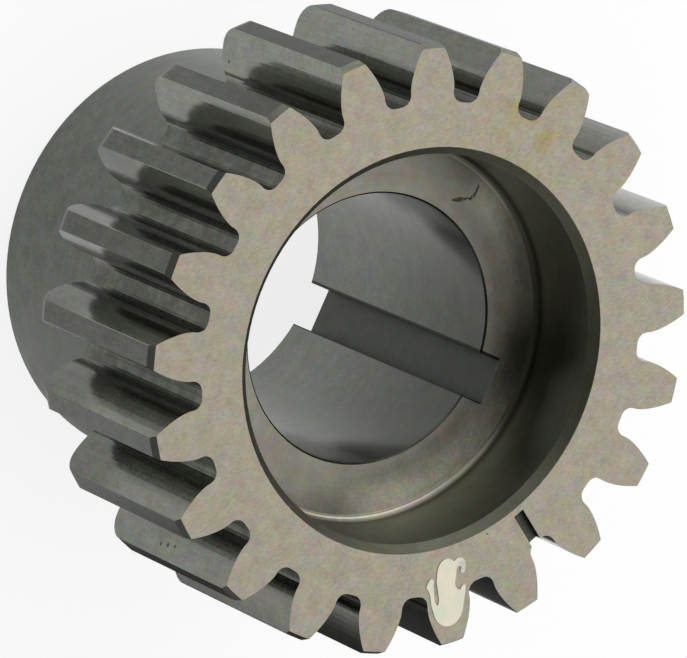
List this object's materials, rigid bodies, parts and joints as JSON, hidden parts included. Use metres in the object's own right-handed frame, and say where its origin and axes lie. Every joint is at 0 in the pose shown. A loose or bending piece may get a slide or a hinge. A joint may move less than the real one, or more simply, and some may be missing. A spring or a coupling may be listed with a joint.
{
  "type": "pinion gear",
  "caption": "Steel spur pinion with a plain hub, a recess for its nut and a tapered keyed bore; it drives a larger timing gear from a crankshaft.",
  "frame": {"origin": "on the gear's axis, at the free end face of the hub, where the pinion stands", "axes": "+Z along the axis from the hub towards the toothed end; +X from the axis through the middle of the keyway"},
  "size_m": [0.0364, 0.0364, 0.0279],
  "materials": {
    "gear_steel": "ground face, machined flanks and hub, lightly oiled"
  },
  "bodies": {
    "root": {"pinion_gear": "gear_steel"}
  },
  "joints": []
}
